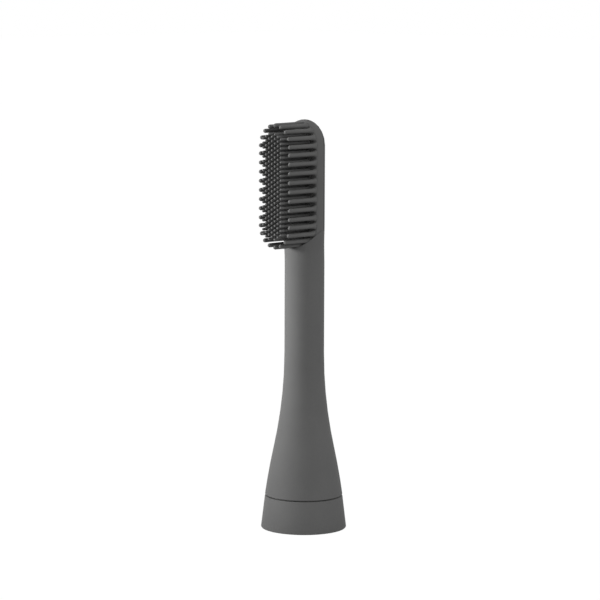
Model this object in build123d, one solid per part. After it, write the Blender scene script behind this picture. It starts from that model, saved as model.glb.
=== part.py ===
from build123d import *
import math
import os

# Brush head for a sonic electric toothbrush, in millimetres. It stands on its base: +Z runs up the neck,
# the bristles point to -Y, and the origin is the middle of the base face.

# Outer form, from the base up
base_radius = 9.11
seam_radius = 8.27
turn_radius = 6.42
turn_height = 17.4
neck_radius = 4.2
flare_top = 37.7
overall_height = 87.0
shoulder_length = 7.93
head_front_depth = 3.9
head_back_depth = 2.6
shoulder_steps = 4

# Ring of thick bristles along the edge of the head
ring_radius = 4.35
ring_pitch = 1.92
ring_end_pitch = 1.665
ring_per_side = 10
ring_per_end = 7
ring_root_radius = 0.5
ring_tip_radius = 0.44
ring_length = 7.65
ring_dome = 0.32
ring_sides = 6
head_margin = 0.45

# Field of fine bristles inside the ring
fine_columns = 7
fine_column_pitch = 0.87
fine_row_pitch = 0.951
fine_half_length = 11.2
fine_end_radius = 4.2
fine_root_radius = 0.3
fine_tip_radius = 0.26
fine_extra_length = 0.8
fine_dome = 0.2
fine_sides = 5
cap_share = 0.55
root_depth = 0.4

# Seat of the bristle pad in the head
face_setback = 1.45
pad_thickness = 1.85
scoop_margin = 0.04
scoop_overcut = 0.1
tongue_width = 2.2
tongue_depth = 1.2
tongue_length = 16.0

# Collar and the spigot that it closes on
seam_height = 7.05
seam_edge = 0.22
base_edge = 0.25
ledge_height = 2.0
lip_radius = 5.6
spigot_radius = 6.9
spigot_gap = 0.2
fit_clearance = 0.05

# Hollow for the handle's nose and the drive sleeve
nose_radius = 5.4
nose_top = 9.8
flange_radius = 4.55
flange_thickness = 1.2
sleeve_radius = 3.05
sleeve_top = 28.3
bore_radius = 2.0
bore_step = 19.4
tip_bore_radius = 1.6
bore_top = 27.3
sleeve_end_gap = 0.1

# Leaf spring at the deep end of the bore
window_bottom = 19.8
window_top = 27.1
spring_width = 2.2
spring_thickness = 0.25
spring_flat = 1.2
spring_play = 0.1

head_half_width = ring_radius + ring_root_radius + head_margin
scoop_drop = ring_radius + ring_root_radius + scoop_margin
ring_span = (ring_per_side - 3) * ring_pitch + 2 * ring_end_pitch
upper_centre = overall_height - head_half_width
lower_centre = upper_centre - ring_span
field_centre = lower_centre + ring_span / 2
neck_end = lower_centre - shoulder_length
flange_top = nose_top + flange_thickness


def round_bar(radius, bottom, top):
    """Cylinder on the neck axis between two heights."""
    return extrude(Pos(0, 0, bottom) * Circle(radius), top - bottom)


def neck_and_skirt():
    """Round neck that flares in a hollow curve, then a round one, down to the seam."""
    flare = TangentArc((neck_radius, flare_top), (turn_radius, turn_height), tangent=(0, -1))
    skirt = TangentArc(flare @ 1, (seam_radius, seam_height), tangent=flare % 1)
    inside = Polyline(skirt @ 1, (0, seam_height), (0, neck_end), (neck_radius, neck_end), flare @ 0)
    bar = revolve(Plane.XZ * make_face([flare, skirt, inside]), Axis.Z)
    return chamfer(bar.edges().group_by(Axis.Z)[0], seam_edge)


def oval(half_width, front_depth, back_depth):
    """Cross-section of the head: half an ellipse in front and a flatter one behind."""
    front = EllipticalCenterArc((0, 0), half_width, front_depth, start_angle=180, arc_size=180)
    back = EllipticalCenterArc((0, 0), half_width, back_depth, start_angle=0, arc_size=180)
    return make_face([front, back])


def shoulder():
    """Neck easing from a circle into the wide oval of the head."""
    sections = []
    for step in range(shoulder_steps + 1):
        share = step / shoulder_steps
        ease = share * share * (3 - 2 * share)
        ends = (head_half_width, head_front_depth, head_back_depth)
        sizes = [neck_radius + (end - neck_radius) * ease for end in ends]
        height = neck_end + shoulder_length * share
        sections.append(Pos(0, 0, height) * oval(*sizes))
    return loft(sections)


def head_end():
    """Rounded end of the head: half of its oval turned about a line through the upper ring centre."""
    front = EllipticalCenterArc((0, 0), head_half_width, head_front_depth, start_angle=-90, arc_size=90)
    back = EllipticalCenterArc((0, 0), head_half_width, head_back_depth, start_angle=0, arc_size=90)
    half_oval = make_face([front, back, Line(back @ 1, front @ 0)])
    axis = Axis((0, 0, upper_centre), (0, -1, 0))
    return revolve(Pos(0, 0, upper_centre) * half_oval, axis, revolution_arc=180)


def outer_form():
    """The outside above the seam, as if neck and head were one bar."""
    section = oval(head_half_width, head_front_depth, head_back_depth)
    head = extrude(Pos(0, 0, lower_centre) * section, ring_span)
    return neck_and_skirt() + shoulder() + head + head_end()


def scoop_outline():
    """Front view of the flat that is scooped out of the bar, open at the top."""
    half_width = head_half_width + scoop_overcut
    sides = overall_height - lower_centre
    middle = lower_centre + sides / 2
    foot = Pos(0, lower_centre) * Ellipse(half_width, scoop_drop)
    return foot + Pos(0, middle) * Rectangle(2 * half_width, sides)


face_plane = Plane.XZ.offset(face_setback)


def pad_seat():
    """Space behind the bristle face that the pad's slab fills."""
    return extrude(face_plane * scoop_outline(), -pad_thickness)


def front_scoop():
    """What is cleared in front of the bristle face."""
    return extrude(face_plane * scoop_outline(), 2 * neck_radius)


def pad_tongue():
    """Long tongue behind the slab that keys the pad into the head."""
    floor = Plane.XZ.offset(face_setback - pad_thickness)
    return extrude(floor * Pos(0, field_centre) * Rectangle(tongue_width, tongue_length), -tongue_depth)


def bristle(sides, root_radius, tip_radius, length, dome, cap_radius):
    """One bristle along +Z from just inside the slab: a slim tapered shaft with a blunt faceted tip."""
    levels = [(root_radius, -root_depth), (tip_radius, length - dome)]
    points = [(0, 0, length)]
    if cap_radius > 0:
        levels.append((cap_radius, length))
    for radius, height in levels:
        for side in range(sides):
            angle = 2 * math.pi * side / sides
            points.append((radius * math.cos(angle), radius * math.sin(angle), height))
    return ConvexPolyhedron(points)


def ring_places():
    """Places of the thick bristles: two straight rows and a half circle at each end."""
    heights = [lower_centre, upper_centre]
    for index in range(ring_per_side - 2):
        heights.append(lower_centre + ring_end_pitch + index * ring_pitch)
    places = []
    for height in heights:
        places += [(ring_radius, height), (-ring_radius, height)]
    for index in range(1, ring_per_end + 1):
        angle = math.pi * index / (ring_per_end + 1)
        across = ring_radius * math.cos(angle)
        along = ring_radius * math.sin(angle)
        places += [(across, upper_centre + along), (across, lower_centre - along)]
    return places


def fine_places():
    """Places of the fine bristles: columns half a pitch apart in turn, cut off by a round end."""
    places = []
    for column in range(fine_columns):
        offset = column - (fine_columns - 1) // 2
        across = offset * fine_column_pitch
        limit = fine_half_length - fine_end_radius + math.sqrt(max(fine_end_radius**2 - across**2, 0))
        start = fine_row_pitch / 2 * (offset % 2)
        rows = math.floor((limit - start) / fine_row_pitch)
        for row in range(rows + 1):
            along = start + row * fine_row_pitch
            places.append((across, field_centre + along))
            if along > 0:
                places.append((across, field_centre - along))
    return places


def make_bristle_pad(form):
    """Soft slab with its tongue and every bristle, in one piece."""
    cap_radius = ring_tip_radius * cap_share
    thick = bristle(ring_sides, ring_root_radius, ring_tip_radius, ring_length, ring_dome, cap_radius)
    fine_length = ring_length + fine_extra_length
    fine = bristle(fine_sides, fine_root_radius, fine_tip_radius, fine_length, fine_dome, 0)
    field = [face_plane.location * Pos(*place) * thick for place in ring_places()]
    field += [face_plane.location * Pos(*place) * fine for place in fine_places()]
    return (form & pad_seat()) + pad_tongue() + field


def make_neck_body(form):
    """Head, neck and skirt in one shell, with the spigot below the seam and the stepped hollow."""
    spigot = round_bar(spigot_radius, ledge_height + spigot_gap, seam_height)
    hollow = [
        round_bar(nose_radius, 0, nose_top),
        round_bar(flange_radius + fit_clearance, nose_top, flange_top),
        round_bar(sleeve_radius + fit_clearance, flange_top, sleeve_top + sleeve_end_gap),
    ]
    return form + spigot - hollow - [pad_seat(), front_scoop(), pad_tongue()]


def make_base_collar():
    """Tapered ring below the seam, with a ledge under the end of the spigot."""
    section = Polyline((0, 0), (base_radius, 0), (seam_radius, seam_height), (0, seam_height), close=True)
    ring = revolve(Plane.XZ * make_face(section), Axis.Z)
    ring = chamfer(ring.edges().group_by(Axis.Z)[-1], seam_edge)
    ring = chamfer(ring.edges().group_by(Axis.Z)[0], base_edge)
    bore = round_bar(spigot_radius + fit_clearance, ledge_height, seam_height)
    return ring - [round_bar(lip_radius, 0, ledge_height), bore]


def make_drive_socket():
    """Flanged sleeve with the stepped blind bore for the drive shaft and a window for the spring."""
    body = round_bar(flange_radius, nose_top, flange_top) + round_bar(sleeve_radius, flange_top, sleeve_top)
    width = spring_width + 2 * spring_play
    window = extrude(
        Plane.XY.offset(window_bottom) * Pos(0, sleeve_radius) * Rectangle(width, 2 * sleeve_radius),
        window_top - window_bottom,
    )
    bore = [round_bar(bore_radius, nose_top, bore_step), round_bar(tip_bore_radius, bore_step, bore_top)]
    return body - bore - window


def make_retaining_spring():
    """Steel leaf with its ends at the neck's wall, bowed into the bore to bear on the flat of the shaft."""
    bottom = window_bottom + spring_play
    top = window_top - spring_play
    middle = (bottom + top) / 2
    wall = math.sqrt((sleeve_radius + fit_clearance) ** 2 - (spring_width / 2) ** 2)
    outer_ends = wall - fit_clearance
    ends = outer_ends - spring_thickness
    inner = ThreePointArc((ends, bottom), (spring_flat, middle), (ends, top))
    outer = ThreePointArc((outer_ends, bottom), (spring_flat + spring_thickness, middle), (outer_ends, top))
    strip = make_face([inner, outer, Line(inner @ 0, outer @ 0), Line(inner @ 1, outer @ 1)])
    return extrude(Plane.YZ * strip, spring_width / 2, both=True)


form = outer_form()
pieces = {
    "neck_body": make_neck_body(form),
    "bristle_pad": make_bristle_pad(form),
    "base_collar": make_base_collar(),
    "drive_socket": make_drive_socket(),
    "retaining_spring": make_retaining_spring(),
}

os.makedirs("parts", exist_ok=True)
for name, piece in pieces.items():
    export_step(piece, f"parts/{name}.step")
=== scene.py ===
# %% [markdown]
# This scene dresses the head of a sonic electric toothbrush: a slim dark grey neck that flares into a skirt,
# a soft pad of bristles set into its flat front, and a ring below a thin seam. The sizes come from the packed
# CAD model, so the first step loads it and keeps its box. Everything is modelled in metres, with +Z up the
# neck and the bristles towards -Y.

# %% Load the CAD model
import math
import bmesh
import bpy
from mathutils import Matrix, Vector


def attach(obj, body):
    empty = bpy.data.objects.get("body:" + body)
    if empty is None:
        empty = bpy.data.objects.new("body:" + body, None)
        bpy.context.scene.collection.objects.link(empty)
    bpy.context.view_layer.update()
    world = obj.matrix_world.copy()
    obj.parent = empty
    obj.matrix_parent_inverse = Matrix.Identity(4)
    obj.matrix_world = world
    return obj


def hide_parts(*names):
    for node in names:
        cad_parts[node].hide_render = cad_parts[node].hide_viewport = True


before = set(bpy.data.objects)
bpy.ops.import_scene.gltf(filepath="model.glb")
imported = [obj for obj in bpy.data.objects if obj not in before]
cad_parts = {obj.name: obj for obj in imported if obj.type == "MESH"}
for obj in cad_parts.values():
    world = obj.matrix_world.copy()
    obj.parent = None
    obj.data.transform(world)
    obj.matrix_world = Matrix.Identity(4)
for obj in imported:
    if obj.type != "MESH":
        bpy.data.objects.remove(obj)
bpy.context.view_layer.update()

MM = 0.001

# %% [markdown]
# The neck and the head share one outer form. Low down it is round, and its radius follows two gentle curves:
# a hollow one below the slim neck and a round one above the seam. Towards the head the circle eases into a
# wide oval, flatter behind than in front, and at the top the oval closes in a dome. One function gives the
# oval at any height, so that the neck and the pad, which is set flush into it, can't drift apart.

# %% The outer form, in millimetres
SEAM_HEIGHT = 7.05
SEAM_RADIUS = 8.27
TURN_HEIGHT = 17.4
TURN_RADIUS = 6.42
FLARE_TOP = 37.7
NECK_RADIUS = 4.2
NECK_END = 57.0
HEAD_HALF_WIDTH = 5.3
FRONT_DEPTH = 3.9
BACK_DEPTH = 2.6
LOWER_CENTRE = 64.93
UPPER_CENTRE = 81.7


def round_radius(height):
    """Radius of the round part below the head."""
    if height >= FLARE_TOP:
        return NECK_RADIUS
    flare = TURN_RADIUS - NECK_RADIUS
    length = FLARE_TOP - TURN_HEIGHT
    if height >= TURN_HEIGHT:
        return NECK_RADIUS + flare * ((FLARE_TOP - height) / length) ** 2
    slope = 2 * flare / length
    skirt = TURN_HEIGHT - SEAM_HEIGHT
    bulge = (slope * skirt - (SEAM_RADIUS - TURN_RADIUS)) / skirt**2
    down = TURN_HEIGHT - height
    return TURN_RADIUS + slope * down - bulge * down**2


def oval(height):
    """Half width of the outer form at a height, and its depth in front of and behind the axis."""
    if height <= NECK_END:
        radius = round_radius(height)
        return radius, radius, radius
    share = min((height - NECK_END) / (LOWER_CENTRE - NECK_END), 1)
    ease = share * share * (3 - 2 * share)
    up = max(height - UPPER_CENTRE, 0) / HEAD_HALF_WIDTH
    closing = math.sqrt(max(1 - up * up, 0))
    ends = (HEAD_HALF_WIDTH, FRONT_DEPTH, BACK_DEPTH)
    return tuple((NECK_RADIUS + (end - NECK_RADIUS) * ease) * closing for end in ends)


SAMPLE_HEIGHTS = (SEAM_HEIGHT, 30, 58, 75, 86)
for height in SAMPLE_HEIGHTS:
    half_width, front, back = oval(height)
    print("at", height, "mm:", round(2 * half_width, 2), "mm wide and", round(front + back, 2), "mm deep")

# %% [markdown]
# Long smooth mouldings are easiest as a cage of rings: a circle is added, its rim is extruded again and
# again, and each new rim is fitted to the form at its height. A subdivision surface then rounds the cage. It
# pulls a ring of points a little inwards, so the rings are made that much larger. Each point keeps the number
# of its spoke, counted from the front, and that says where on the oval it belongs. Sculpting could give the
# same curves, but here every size stays a number that can be checked.

# %% Ring tools
SPOKES = 32
SWELL = 3 / (2 + math.cos(2 * math.pi / SPOKES))
MERGE_DISTANCE = 0.001
ROUNDING_LEVELS = 2


def clear_selection():
    """Leave edit mode and deselect every object."""
    if bpy.context.object and bpy.context.object.mode != "OBJECT":
        bpy.ops.object.mode_set(mode="OBJECT")
    bpy.ops.object.select_all(action="DESELECT")


def start_ring(name, place):
    """Add a circle, number its spokes and put its points on the form."""
    clear_selection()
    bpy.ops.mesh.primitive_circle_add(vertices=SPOKES, radius=MM)
    piece = bpy.context.object
    piece.name = name
    spoke = piece.data.attributes.new("spoke", "INT", "POINT")
    for index, corner in enumerate(piece.data.vertices):
        spoke.data[index].value = index
        corner.co = place(index)
    bpy.ops.object.mode_set(mode="EDIT")
    bpy.ops.mesh.select_all(action="SELECT")
    return piece


def next_ring(place, crease=0.0):
    """Extrude the selected rim and fit the new one to the form."""
    bpy.ops.mesh.extrude_region_move()
    mesh = bpy.context.object.data
    cage = bmesh.from_edit_mesh(mesh)
    spoke = cage.verts.layers.int["spoke"]
    for corner in cage.verts:
        if corner.select:
            corner.co = place(corner[spoke])
    bmesh.update_edit_mesh(mesh)
    if crease:
        bpy.ops.transform.edge_crease(value=crease)


def circle(radius, height):
    """Places on a plain circle."""
    def place(spoke):
        angle = 2 * math.pi * spoke / SPOKES
        wide = radius * SWELL
        return Vector((wide * math.sin(angle), -wide * math.cos(angle), height)) * MM
    return place


def close_rim():
    """Close the rim that is still open, turn the faces outwards and leave edit mode."""
    bpy.ops.mesh.select_all(action="DESELECT")
    bpy.ops.mesh.select_non_manifold()
    bpy.ops.mesh.edge_face_add()
    bpy.ops.mesh.select_all(action="SELECT")
    bpy.ops.mesh.normals_make_consistent(inside=False)
    bpy.ops.object.mode_set(mode="OBJECT")


def finish_cage(sharp_angle):
    """Merge doubles, close the first rim, round the cage and smooth its shading."""
    bpy.ops.mesh.select_all(action="SELECT")
    bpy.ops.mesh.remove_doubles(threshold=MERGE_DISTANCE * MM)
    close_rim()
    piece = bpy.context.object
    piece.data.attributes.remove(piece.data.attributes["spoke"])
    rounding = piece.modifiers.new("rounding", "SUBSURF")
    rounding.levels = ROUNDING_LEVELS
    rounding.render_levels = ROUNDING_LEVELS
    bpy.ops.object.modifier_apply(modifier=rounding.name)
    bpy.ops.object.shade_smooth_by_angle(angle=math.radians(sharp_angle))
    return piece


print("rings of", SPOKES, "points, made", round((SWELL - 1) * 100, 2), "percent larger")

# %% [markdown]
# The bristle pad lies in a flat that is scooped out of the front of the head. Seen from the front, the foot
# of the scoop is half an oval, close round the lowest bristles and as wide as the head. A Boolean could cut
# it, but it would leave a hard lip and long thin faces. So the front spokes of each ring are laid flat on the
# bottom of the scoop. The oval lifts the points beside the middle, and behind the widest place the lift stays
# as it is there.

# %% The scoop in the front of the head
FACE_SETBACK = 1.45
PAD_BACK = 0.4
SCOOP_HALF_WIDTH = 5.4
SCOOP_DROP = 4.88
SCOOP_FOOT = LOWER_CENTRE - SCOOP_DROP


def lift(spoke):
    """Height of the scoop's outline above its lowest point, at a spoke."""
    reach = HEAD_HALF_WIDTH / SCOOP_HALF_WIDTH * math.sin(2 * math.pi * spoke / SPOKES)
    return SCOOP_DROP * (1 - math.sqrt(1 - reach**2))


def form(height, front=-math.inf, back=math.inf, lifted=0.0, level_back=True):
    """Places on the outer form, with the front or the back of the ring laid flat."""
    def place(spoke):
        angle = 2 * math.pi * spoke / SPOKES
        behind = math.cos(angle) < 0
        raised = lifted * lift(SPOKES // 4 if behind and level_back else spoke)
        half_width, front_depth, back_depth = oval(height + raised)
        across = half_width * SWELL * math.sin(angle)
        deep = -(back_depth if behind else front_depth) * SWELL * math.cos(angle)
        return Vector((across, min(max(deep, front), back), height + raised)) * MM
    return place


def scoop_wall(inside):
    """Places on the wall of the scoop, some way in from its lip."""
    def place(spoke):
        lip = form(SCOOP_FOOT, lifted=1.0)(spoke) / MM
        return Vector((lip.x, max(lip.y, min(lip.y + inside, -FACE_SETBACK)), lip.z)) * MM
    return place


print("scoop foot at", SCOOP_FOOT, "mm, its sides", round(lift(SPOKES // 4), 2), "mm higher")

# %% [markdown]
# The neck is one rigid moulding, hollow from below. On the real one the hollow takes the handle's round nose,
# and a sleeve for the drive shaft is pressed into its roof. It could be turned with Spin, but the head isn't
# round, so the cage of rings goes on from the hollow, round the spigot under the seam and up the outside to
# the dome. Creased rings keep the edges that a moulding tool leaves crisp.

# %% Neck up to the shoulder
SEAM_EDGE = 0.2
SPIGOT_RADIUS = 6.9
SPIGOT_BOTTOM = 2.2
NOSE_RADIUS = 5.4
NOSE_TOP = 9.8
FLANGE_SEAT_RADIUS = 4.6
FLANGE_TOP = 11.0
SLEEVE_SEAT_RADIUS = 3.1
SLEEVE_SEAT_TOP = 28.4
CRISP = 0.9
SOFT = 0.5
NECK_HEIGHTS = (8.2, 10.5, 14, TURN_HEIGHT, 21, 25, 29, 33, FLARE_TOP, 42, 46.5, 51, 54)
SHOULDER_RINGS = ((56, 0.2), (57.6, 0.5), (58.7, 0.8), (59.2, 1.0))

neck = start_ring("neck", circle(SLEEVE_SEAT_RADIUS, SLEEVE_SEAT_TOP))
bpy.ops.transform.edge_crease(value=CRISP)
next_ring(circle(SLEEVE_SEAT_RADIUS, FLANGE_TOP), CRISP)
next_ring(circle(FLANGE_SEAT_RADIUS, FLANGE_TOP), CRISP)
next_ring(circle(FLANGE_SEAT_RADIUS, NOSE_TOP), CRISP)
next_ring(circle(NOSE_RADIUS, NOSE_TOP), CRISP)
next_ring(circle(NOSE_RADIUS, SPIGOT_BOTTOM), CRISP)
next_ring(circle(SPIGOT_RADIUS, SPIGOT_BOTTOM), CRISP)
next_ring(circle(SPIGOT_RADIUS, SEAM_HEIGHT), CRISP)
next_ring(circle(SEAM_RADIUS - SEAM_EDGE, SEAM_HEIGHT), SOFT)
next_ring(form(SEAM_HEIGHT + SEAM_EDGE), SOFT)
for height in NECK_HEIGHTS:
    next_ring(form(height))
for height, lifted in SHOULDER_RINGS:
    next_ring(form(height, lifted=lifted))
print(len(neck.data.vertices), "points up to the shoulder")

# %% [markdown]
# Behind the pad the head is flat in front and round behind. The rings could change their number of points
# there, but then the cage would need a seam. So the front half of the spokes is spread along the flat, and
# the back half goes round the oval. On the dome the rings are given by an angle, so that they close evenly.

# %% Rings of the head
HEAD_HEIGHTS = (65.6, 67.5, 70, 75, 79, UPPER_CENTRE)
DOME_STEPS = (16, 32, 47, 61, 72)


def dome_height(step):
    """Height of a ring on the dome, by its angle above the upper centre."""
    return UPPER_CENTRE + HEAD_HALF_WIDTH * math.sin(math.radians(step))


def head_back(height, lifted=0.0):
    """Places on the head behind the pad: flat in front, oval behind."""
    quarter = SPOKES // 4

    def place(spoke):
        steps = min(spoke, SPOKES - spoke)
        raised = lifted * lift(min(steps, quarter))
        half_width, _, depth = oval(height + raised)
        edge = math.asin(PAD_BACK / depth)
        if steps <= quarter:
            across = math.cos(edge) * math.sin(math.pi / 2 * steps / quarter)
            deep = PAD_BACK
        else:
            angle = edge + (math.pi / 2 - edge) * (steps - quarter) / quarter
            across = math.cos(angle)
            deep = depth * SWELL * math.sin(angle)
        side = 1 if spoke <= SPOKES // 2 else -1
        return Vector((side * across * half_width * SWELL, deep, height + raised)) * MM
    return place


print(len(HEAD_HEIGHTS), "rings along the head and", len(DOME_STEPS), "on its dome")

# %% [markdown]
# Now the neck meets the scoop. Two rings lie close to the lip, one outside and one on the wall, so that the
# lip comes out as a small round edge. A bevel would do that too, but not along an edge that fades out at both
# ends. The next rings drop behind the pad's face, and the head goes on up to its dome. A hair's gap is left
# between the head and the pad, so that their faces don't lie in one another.

# %% Scoop, head and dome
LIP_ROUND = 0.4
PAD_GAP = 0.005
NECK_SHARP_ANGLE = 35


def close_dome(deep, height):
    """Close the last rim in one point on the dome."""
    bpy.ops.mesh.extrude_region_move()
    bpy.ops.mesh.merge(type="CENTER")
    cage = bmesh.from_edit_mesh(bpy.context.object.data)
    for corner in cage.verts:
        if corner.select:
            corner.co = Vector((0, deep, height)) * MM


def crease_sides(value):
    """Keep the selected rim crisp where no wall drops from it, beside the pad."""
    mesh = bpy.context.object.data
    cage = bmesh.from_edit_mesh(mesh)
    crease = cage.edges.layers.float["crease_edge"]
    for edge in cage.edges:
        if edge.select and all(corner.co.y > -FACE_SETBACK * MM for corner in edge.verts):
            edge[crease] = value
    bmesh.update_edit_mesh(mesh)


next_ring(scoop_wall(0.0))
crease_sides(CRISP)
next_ring(scoop_wall(LIP_ROUND))
next_ring(scoop_wall(2 * NECK_RADIUS), SOFT)
next_ring(head_back(SCOOP_FOOT + PAD_GAP, lifted=1.0), CRISP)
for height in HEAD_HEIGHTS:
    next_ring(head_back(height))
for step in DOME_STEPS:
    next_ring(head_back(dome_height(step)))
close_dome(PAD_BACK, dome_height(math.degrees(math.acos(PAD_BACK / BACK_DEPTH))))
neck = finish_cage(NECK_SHARP_ANGLE)
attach(neck, "root")
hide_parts("neck_body")
print("neck:", len(neck.data.polygons), "faces")

# %% [markdown]
# The soft pad fills the scoop flush with the head: a slab that carries every bristle, moulded in one. A block
# cut to shape would do too, but with the same rings, laid flat in front and behind, its sides run on from the
# neck's. Its foot follows the half oval of the scoop.

# %% Slab of the bristle pad
FIRST_RING_HEIGHT = 0.5
LAST_DOME_STEP = 80
SLAB_SHARP_ANGLE = 50

slab_back = PAD_BACK - PAD_GAP


def slab_ring(height, lifted=0.0):
    """Places on the slab: the outer form laid flat at the face and at the back."""
    return form(height, -FACE_SETBACK, slab_back, lifted, level_back=False)


slab = start_ring("bristle_slab", slab_ring(SCOOP_FOOT + 2 * PAD_GAP, lifted=1.0))
bpy.ops.transform.edge_crease(value=CRISP)
next_ring(slab_ring(SCOOP_FOOT + FIRST_RING_HEIGHT, lifted=1.0))
for height in HEAD_HEIGHTS:
    next_ring(slab_ring(height))
for step in (*DOME_STEPS, LAST_DOME_STEP):
    next_ring(slab_ring(dome_height(step)))
close_dome(0, UPPER_CENTRE + HEAD_HALF_WIDTH)
slab = finish_cage(SLAB_SHARP_ANGLE)
print("slab:", len(slab.data.polygons), "faces")

# %% [markdown]
# There are two kinds of bristle: thick ones in a ring along the edge, and fine ones in staggered columns
# inside it, which stand a little higher. Particle hair would be quicker, but it has no flared root and no
# round tip. So each kind is modelled once. A circle is extruded from its flared root along a slim taper, the
# last rings close round the tip, and the rim is merged to a point. They are built standing up and then turned
# to face the front.

# %% One bristle of each kind
TIP_STEPS = (35, 65)
ROOT_CURVE = ((0.5, 0.12), (0.2, 0.38), (0.0, 1.0))
ROOT_DEPTH = 0.1
TIP_DOME = 0.75


def bristle_rings(root_radius, tip_radius, length, flare):
    """Radius and height of each ring on a bristle, above its foot."""
    dome = tip_radius * TIP_DOME
    stations = [(root_radius + flare * share, height) for share, height in ROOT_CURVE]
    stations.append((tip_radius, length - dome))
    for step in TIP_STEPS:
        angle = math.radians(step)
        stations.append((tip_radius * math.cos(angle), length - dome + dome * math.sin(angle)))
    return stations


def bristle(name, sides, root_radius, tip_radius, length, flare):
    """One tapered bristle with a flared root and a round tip, standing at the origin and pointing to -Y."""
    clear_selection()
    start = root_radius + flare
    foot = (0, 0, -ROOT_DEPTH * MM)
    bpy.ops.mesh.primitive_circle_add(vertices=sides, radius=start * MM, location=foot)
    bpy.ops.object.transform_apply(location=True, rotation=False, scale=False)
    made = bpy.context.object
    made.name = name
    bpy.ops.object.mode_set(mode="EDIT")
    bpy.ops.mesh.select_all(action="SELECT")
    radius, height = start, -ROOT_DEPTH
    for next_radius, next_height in bristle_rings(root_radius, tip_radius, length, flare):
        rise = (next_height - height) * MM
        bpy.ops.mesh.extrude_region_move(TRANSFORM_OT_translate={"value": (0, 0, rise)})
        factor = next_radius / radius
        bpy.ops.transform.resize(value=(factor, factor, 1), center_override=(0, 0, next_height * MM))
        radius, height = next_radius, next_height
    rise = (length - height) * MM
    bpy.ops.mesh.extrude_region_move(TRANSFORM_OT_translate={"value": (0, 0, rise)})
    bpy.ops.mesh.merge(type="CENTER")
    close_rim()
    made.rotation_euler = (math.pi / 2, 0, 0)
    bpy.ops.object.transform_apply(location=True, rotation=True, scale=True)
    bpy.ops.object.shade_smooth()
    return made


THICK_LENGTH = 7.65
FINE_EXTRA_LENGTH = 0.8
fine_length = THICK_LENGTH + FINE_EXTRA_LENGTH
thick = bristle("thick_bristle", sides=10, root_radius=0.5, tip_radius=0.44, length=THICK_LENGTH, flare=0.4)
fine = bristle("fine_bristle", sides=8, root_radius=0.31, tip_radius=0.29, length=fine_length, flare=0.12)
print("faces on a thick and a fine bristle:", len(thick.data.polygons), len(fine.data.polygons))

# %% [markdown]
# The ring is two straight rows with a half circle at each end, where the bristles stand a little closer. The
# fine columns are shifted by half a pitch in turn, like bricks, and end along a round outline inside the
# ring. They could be set one by one, but with a few loops a pitch or a count can be changed in one line.

# %% Places of the bristles
RING_RADIUS = 4.35
RING_PER_SIDE = 10
RING_PITCH = 1.92
RING_END_PITCH = 1.665
RING_PER_END = 7
FINE_COLUMNS = 7
FINE_COLUMN_PITCH = 0.87
FINE_ROW_PITCH = 0.951
FINE_HALF_LENGTH = 11.2
FINE_END_RADIUS = 4.2

side_heights = [LOWER_CENTRE]
for index in range(RING_PER_SIDE - 2):
    side_heights.append(LOWER_CENTRE + RING_END_PITCH + RING_PITCH * index)
side_heights.append(UPPER_CENTRE)
ring_places = []
for height in side_heights:
    ring_places += [(RING_RADIUS, height), (-RING_RADIUS, height)]
for index in range(1, RING_PER_END + 1):
    angle = math.pi * index / (RING_PER_END + 1)
    across, along = RING_RADIUS * math.cos(angle), RING_RADIUS * math.sin(angle)
    ring_places += [(across, UPPER_CENTRE + along), (across, LOWER_CENTRE - along)]

fine_places = []
field_centre = (LOWER_CENTRE + UPPER_CENTRE) / 2
for column in range(FINE_COLUMNS):
    offset = column - FINE_COLUMNS // 2
    across = offset * FINE_COLUMN_PITCH
    limit = FINE_HALF_LENGTH - FINE_END_RADIUS + math.sqrt(FINE_END_RADIUS**2 - across**2)
    first = FINE_ROW_PITCH / 2 * (offset % 2)
    for row in range(math.floor((limit - first) / FINE_ROW_PITCH) + 1):
        along = first + row * FINE_ROW_PITCH
        sides = (1, -1) if along else (1,)
        fine_places += [(across, field_centre + side * along) for side in sides]
print(len(ring_places), "thick and", len(fine_places), "fine bristles")

# %% [markdown]
# Each bristle is copied with its own mesh to its place, and the copies are joined with the slab, because the
# real pad comes out of its mould in one piece. The roots reach a little into the slab. In the ring their
# flare would stand out past the rim of the face, so there each root is trimmed flush with it.

# %% Plant the bristles
RIM_MARGIN = 0.02

rim_radius = HEAD_HALF_WIDTH * math.sqrt(1 - (FACE_SETBACK / FRONT_DEPTH) ** 2) - RIM_MARGIN


def trim_to_rim(mesh):
    """Pull points that stand out past the rim of the face back to it."""
    for corner in mesh.vertices:
        middle = min(max(corner.co.z, LOWER_CENTRE * MM), UPPER_CENTRE * MM)
        reach = math.hypot(corner.co.x, corner.co.z - middle)
        if reach > rim_radius * MM:
            corner.co.x *= rim_radius * MM / reach
            corner.co.z = middle + (corner.co.z - middle) * rim_radius * MM / reach


def plant(model, places):
    """Copy a bristle to each place on the face."""
    copies = []
    for across, height in places:
        copy = model.copy()
        copy.data = model.data.copy()
        copy.data.transform(Matrix.Translation(Vector((across, -FACE_SETBACK, height)) * MM))
        trim_to_rim(copy.data)
        bpy.context.collection.objects.link(copy)
        copies.append(copy)
    bpy.data.objects.remove(model)
    return copies


planted = plant(thick, ring_places) + plant(fine, fine_places)
clear_selection()
for copy in planted:
    copy.select_set(True)
slab.select_set(True)
bpy.context.view_layer.objects.active = slab
bpy.ops.object.join()
pad = bpy.context.object
pad.name = "bristles"
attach(pad, "root")
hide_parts("bristle_pad")
print("bristle pad:", len(pad.data.polygons), "faces")

# %% [markdown]
# The ring below the seam is round all the way, so it is modelled as its cross-section, to be swept round with
# Spin. A cone with a hole would need more cuts for the ledge inside. A plane gives the wall of the section,
# and its lower edge is extruded inwards to the ledge. The ring stops a little short of the neck, and that
# open gap makes the thin dark line of the seam.

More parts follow.
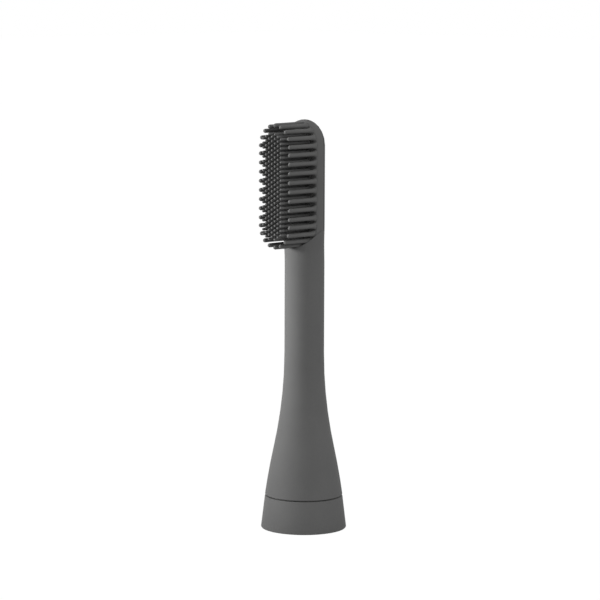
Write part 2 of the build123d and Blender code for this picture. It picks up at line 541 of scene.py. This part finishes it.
# %% Ring below the seam
BASE_RADIUS = 9.11
SEAM_GAP = 0.15
LEDGE_HEIGHT = 2.0
LIP_RADIUS = 5.6
RING_BORE_RADIUS = 6.95

collar_top = SEAM_HEIGHT - SEAM_GAP
middle_height = (LEDGE_HEIGHT + collar_top) / 2
middle_radius = (RING_BORE_RADIUS + BASE_RADIUS) / 2
clear_selection()
bpy.ops.mesh.primitive_plane_add(size=MM, rotation=(math.pi / 2, 0, 0))
collar = bpy.context.object
collar.name = "collar"
bpy.ops.object.transform_apply(location=True, rotation=True, scale=True)
wall_corners = {
    (-1, -1): (RING_BORE_RADIUS, LEDGE_HEIGHT),
    (1, -1): (BASE_RADIUS, 0),
    (1, 1): (SEAM_RADIUS, collar_top),
    (-1, 1): (RING_BORE_RADIUS, collar_top),
}
for corner in collar.data.vertices:
    out, up = wall_corners[(round(2 * corner.co.x / MM), round(2 * corner.co.z / MM))]
    corner.co = Vector((out, 0, up)) * MM
bpy.ops.object.mode_set(mode="EDIT")
bpy.ops.mesh.select_mode(type="EDGE")
bpy.ops.mesh.select_all(action="DESELECT")
section = bmesh.from_edit_mesh(collar.data)
for edge in section.edges:
    if all(corner.co.z < middle_height * MM for corner in edge.verts):
        edge.select_set(True)
bpy.ops.mesh.extrude_region_move()
section = bmesh.from_edit_mesh(collar.data)
for corner in section.verts:
    if corner.select:
        inner = corner.co.x < middle_radius * MM
        corner.co = Vector((LIP_RADIUS, 0, LEDGE_HEIGHT if inner else 0)) * MM
bmesh.update_edit_mesh(collar.data)
print("section of the ring:", len(collar.data.vertices), "points")

# %% [markdown]
# A moulded edge is never quite sharp, so the section's two outer corners, at the base and at the seam, get a
# small bevel. That is easier on the flat section, where each is one point, than on the finished ring, where
# each is a long loop. Spin only needs the outline of the section, so its face is deleted first.

# %% Round the section's corners and spin it
BASE_EDGE = 0.25
BEVEL_SEGMENTS = 3
PICK_DISTANCE = 0.1
TURNS = 96
COLLAR_SHARP_ANGLE = 35


def round_corner(out, up, size):
    """Bevel the corner of the section at a place."""
    bpy.ops.mesh.select_all(action="DESELECT")
    section = bmesh.from_edit_mesh(collar.data)
    place = Vector((out, 0, up)) * MM
    for corner in section.verts:
        corner.select_set((corner.co - place).length < PICK_DISTANCE * MM)
    bpy.ops.mesh.bevel(offset=size * MM, segments=BEVEL_SEGMENTS, affect="VERTICES")


bpy.ops.mesh.select_all(action="DESELECT")
section = bmesh.from_edit_mesh(collar.data)
for edge in section.edges:
    if len(edge.link_faces) == 2:
        edge.select_set(True)
bpy.ops.mesh.dissolve_edges(use_verts=False)
bpy.ops.mesh.select_mode(type="VERT")
round_corner(BASE_RADIUS, 0, BASE_EDGE)
round_corner(SEAM_RADIUS, collar_top, SEAM_EDGE)
bpy.ops.mesh.select_all(action="SELECT")
bpy.ops.mesh.delete(type="ONLY_FACE")
bpy.ops.mesh.select_all(action="SELECT")
bpy.ops.mesh.spin(steps=TURNS, angle=2 * math.pi, center=(0, 0, 0), axis=(0, 0, 1))
bpy.ops.mesh.select_all(action="SELECT")
bpy.ops.mesh.remove_doubles(threshold=MERGE_DISTANCE * MM)
bpy.ops.mesh.normals_make_consistent(inside=False)
bpy.ops.object.mode_set(mode="OBJECT")
bpy.ops.object.shade_smooth_by_angle(angle=math.radians(COLLAR_SHARP_ANGLE))
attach(collar, "root")
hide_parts("base_collar")
print("collar:", len(collar.data.polygons), "faces")

# %% [markdown]
# The rigid pieces are dark grey plastic with a satin finish: very fine grain from the mould, and a gloss that
# varies a little from place to place. An image could carry that, but two noise textures need no file: one for
# slow changes of tone and gloss, and a much finer one as bump. They read Object coordinates, so the grain
# keeps its size in millimetres.

# %% Satin plastic with a fine grain
SPECULAR = 0.15
SLOW_DETAIL = 3
TONE_STOPS = (0.3, 0.7)
GRAIN_DETAIL = 2
GRAIN_STRENGTH = 0.25


def grained(name, colours, roughness, slow_scale, grain_scale, grain_depth, metallic=0.0):
    """A material with slow changes of tone and gloss and a fine grain."""
    material = bpy.data.materials.new(name)
    material.use_nodes = True
    nodes = material.node_tree.nodes
    link = material.node_tree.links.new
    shader = nodes["Principled BSDF"]
    shader.inputs["Metallic"].default_value = metallic
    shader.inputs["Specular IOR Level"].default_value = SPECULAR
    place = nodes.new("ShaderNodeTexCoord")
    slow = nodes.new("ShaderNodeTexNoise")
    slow.inputs["Scale"].default_value = slow_scale
    slow.inputs["Detail"].default_value = SLOW_DETAIL
    tone = nodes.new("ShaderNodeValToRGB")
    for stop, position, grey in zip(tone.color_ramp.elements, TONE_STOPS, colours):
        stop.position = position
        stop.color = (*grey, 1)
    gloss = nodes.new("ShaderNodeMapRange")
    gloss.inputs["To Min"].default_value = roughness[0]
    gloss.inputs["To Max"].default_value = roughness[1]
    grain = nodes.new("ShaderNodeTexNoise")
    grain.inputs["Scale"].default_value = grain_scale
    grain.inputs["Detail"].default_value = GRAIN_DETAIL
    bump = nodes.new("ShaderNodeBump")
    bump.inputs["Strength"].default_value = GRAIN_STRENGTH
    bump.inputs["Distance"].default_value = grain_depth * MM
    link(place.outputs["Object"], slow.inputs["Vector"])
    link(place.outputs["Object"], grain.inputs["Vector"])
    link(slow.outputs["Fac"], tone.inputs["Fac"])
    link(slow.outputs["Fac"], gloss.inputs["Value"])
    link(tone.outputs["Color"], shader.inputs["Base Color"])
    link(gloss.outputs["Result"], shader.inputs["Roughness"])
    link(grain.outputs["Fac"], bump.inputs["Height"])
    link(bump.outputs["Normal"], shader.inputs["Normal"])
    return material


satin = grained(
    "dark_satin_plastic",
    colours=((0.11, 0.11, 0.1095), (0.122, 0.122, 0.121)),
    roughness=(0.66, 0.74),
    slow_scale=120,
    grain_scale=5000,
    grain_depth=0.02,
)
print("made", satin.name)

# %% [markdown]
# The pad is soft silicone, a shade darker than the plastic and a little smoother. The sleeve inside is plain
# off-white plastic, and the spring is bare steel. All of them have a fine grain, so the same function makes
# them with other values. The sleeve and the spring keep their CAD shapes and only get a finish.

# %% Silicone, sleeve and steel
silicone = grained(
    "dark_soft_silicone",
    colours=((0.104, 0.104, 0.103), (0.116, 0.116, 0.115)),
    roughness=(0.62, 0.7),
    slow_scale=200,
    grain_scale=6000,
    grain_depth=0.015,
)
sleeve = grained(
    "off_white_sleeve",
    colours=((0.58, 0.58, 0.55), (0.66, 0.66, 0.63)),
    roughness=(0.4, 0.5),
    slow_scale=300,
    grain_scale=4000,
    grain_depth=0.01,
)
steel = grained(
    "spring_steel",
    colours=((0.52, 0.52, 0.53), (0.62, 0.62, 0.62)),
    roughness=(0.25, 0.4),
    slow_scale=600,
    grain_scale=8000,
    grain_depth=0.005,
    metallic=1.0,
)

for piece, finish in ((neck, satin), (collar, satin), (pad, silicone)):
    piece.data.materials.clear()
    piece.data.materials.append(finish)
for node, finish in (("drive_socket", sleeve), ("retaining_spring", steel)):
    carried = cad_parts[node].data.materials
    carried.clear()
    carried.append(finish)
print("materials:", [material.name for material in (satin, silicone, sleeve, steel)])

# %% [markdown]
# The photograph has a plain white ground. The floor here is a wide pale grey plane. To the camera it is part
# glowing white and part lit paint, so that it comes out white and still keeps the soft shadow at the foot.
# White paint alone would need far more light than the object.

# %% White floor
FLOOR_SIZE = 6
FLOOR_GAP = 0.02
FLOOR_GREY = 0.5
FLOOR_ROUGHNESS = 0.9
GLOW_STRENGTH = 1.04
GLOW_SHARE = 0.95


def shown_white(nodes, link):
    """One for a ray from the camera, a mirror or glass, and nought for the others."""
    path = nodes.new("ShaderNodeLightPath")
    either = nodes.new("ShaderNodeMath")
    either.operation = "MAXIMUM"
    seen = nodes.new("ShaderNodeMath")
    seen.operation = "MAXIMUM"
    link(path.outputs["Is Camera Ray"], either.inputs[0])
    link(path.outputs["Is Transmission Ray"], either.inputs[1])
    link(either.outputs[0], seen.inputs[0])
    link(path.outputs["Is Glossy Ray"], seen.inputs[1])
    return seen.outputs[0]


clear_selection()
bpy.ops.mesh.primitive_plane_add(size=FLOOR_SIZE, location=(0, 0, -FLOOR_GAP * MM))
floor = bpy.context.object
floor.name = "floor"
bpy.ops.object.transform_apply(location=True, rotation=True, scale=True)
paint = bpy.data.materials.new("pale_floor")
paint.use_nodes = True
nodes = paint.node_tree.nodes
link = paint.node_tree.links.new
shader = nodes["Principled BSDF"]
shader.inputs["Base Color"].default_value = (FLOOR_GREY, FLOOR_GREY, FLOOR_GREY, 1)
shader.inputs["Roughness"].default_value = FLOOR_ROUGHNESS
glow = nodes.new("ShaderNodeEmission")
glow.inputs["Strength"].default_value = GLOW_STRENGTH
share = nodes.new("ShaderNodeMath")
share.operation = "MULTIPLY"
share.inputs[1].default_value = GLOW_SHARE
mix = nodes.new("ShaderNodeMixShader")
link(shown_white(nodes, link), share.inputs[0])
link(share.outputs[0], mix.inputs["Fac"])
link(shader.outputs[0], mix.inputs[1])
link(glow.outputs[0], mix.inputs[2])
link(mix.outputs[0], nodes["Material Output"].inputs["Surface"])
floor.data.materials.append(paint)
print("floor of", FLOOR_SIZE, "m, white to the camera")

# %% [markdown]
# The world does the same for everything behind the floor. It is white to the camera and in reflections, and a
# plain grey light for everything else. A picture of a room would bring reflections that the photograph
# doesn't have.

# %% White world
AMBIENT_STRENGTH = 0.585

world = bpy.data.worlds.new("white_studio")
bpy.context.scene.world = world
world.use_nodes = True
nodes = world.node_tree.nodes
link = world.node_tree.links.new
backdrop = nodes["Background"]
backdrop.inputs["Color"].default_value = (1, 1, 1, 1)
level = nodes.new("ShaderNodeMapRange")
level.inputs["To Min"].default_value = AMBIENT_STRENGTH
level.inputs["To Max"].default_value = 1.0
link(shown_white(nodes, link), level.inputs["Value"])
link(level.outputs["Result"], backdrop.inputs["Strength"])
print("world is white to the camera, with light of", AMBIENT_STRENGTH, "on the object")

# %% [markdown]
# The photograph was taken from the front right and a little above, with a long lens that hardly narrows the
# far side. The angles were found by comparing renders with it. The focal length follows from the distance, so
# that a nearer or farther camera changes the perspective and not the size in the picture.

# %% Camera at the photograph's angle
AZIMUTH = 45
ELEVATION = 7.2
DISTANCE = 0.56
LENS_PER_METRE = 283.6
AIM_HEIGHT = 48.78
AIM_ASIDE = -0.94
ROLL = 0.22
SENSOR_WIDTH = 36


def direction(azimuth, elevation):
    """Unit vector from the object towards a viewer."""
    turn = math.radians(azimuth)
    tilt = math.radians(elevation)
    level = math.cos(tilt)
    return Vector((math.sin(turn) * level, -math.cos(turn) * level, math.sin(tilt)))


to_camera = direction(AZIMUTH, ELEVATION)
to_right = Vector((math.cos(math.radians(AZIMUTH)), math.sin(math.radians(AZIMUTH)), 0))
aim = Vector((0, 0, AIM_HEIGHT * MM)) + to_right * AIM_ASIDE * MM
lens = bpy.data.cameras.new("photo_camera")
lens.lens = LENS_PER_METRE * DISTANCE
lens.sensor_width = SENSOR_WIDTH
camera = bpy.data.objects.new("photo_camera", lens)
bpy.context.collection.objects.link(camera)
camera.location = aim + to_camera * DISTANCE
level_view = to_camera.to_track_quat("Z", "Y").to_matrix()
camera.rotation_euler = (level_view @ Matrix.Rotation(math.radians(ROLL), 3, "Z")).to_euler()
bpy.context.scene.camera = camera
print("camera at", [round(part, 3) for part in camera.location])

# %% [markdown]
# In the photograph the left edge of the neck is the brightest, and that light fades down towards the skirt. A
# short area light on the left with a narrow beam, aimed at the neck, does that. A tall one stands higher up
# on the right. It lights the bristles from above, leaves their undersides dark and brings a weak shine to the
# right side. A sun lamp would be simpler, but its light doesn't fade. The lights are placed by their angle
# from the photograph's direction and stay there when another view is taken.

# %% Soft lights
LIT_HEIGHT = 60


def soft_light(name, azimuth, elevation, distance, width, height, power, spread):
    """A rectangular area light that looks at the neck, with its beam narrowed to an angle."""
    lamp = bpy.data.lights.new(name, "AREA")
    lamp.shape = "RECTANGLE"
    lamp.size = width
    lamp.size_y = height
    lamp.energy = power
    lamp.spread = math.radians(spread)
    light = bpy.data.objects.new(name, lamp)
    bpy.context.collection.objects.link(light)
    towards = direction(azimuth, elevation)
    light.location = Vector((0, 0, LIT_HEIGHT * MM)) + towards * distance
    light.rotation_euler = towards.to_track_quat("Z", "Y").to_euler()
    return light


soft_light(
    "narrow_left",
    azimuth=AZIMUTH - 90,
    elevation=10,
    distance=0.25,
    width=0.16,
    height=0.05,
    power=0.1,
    spread=50,
)
soft_light(
    "tall_right",
    azimuth=AZIMUTH + 40,
    elevation=32,
    distance=0.7,
    width=0.1,
    height=0.5,
    power=1.35,
    spread=180,
)
bpy.context.scene.view_settings.view_transform = "Standard"
print("two soft lights")
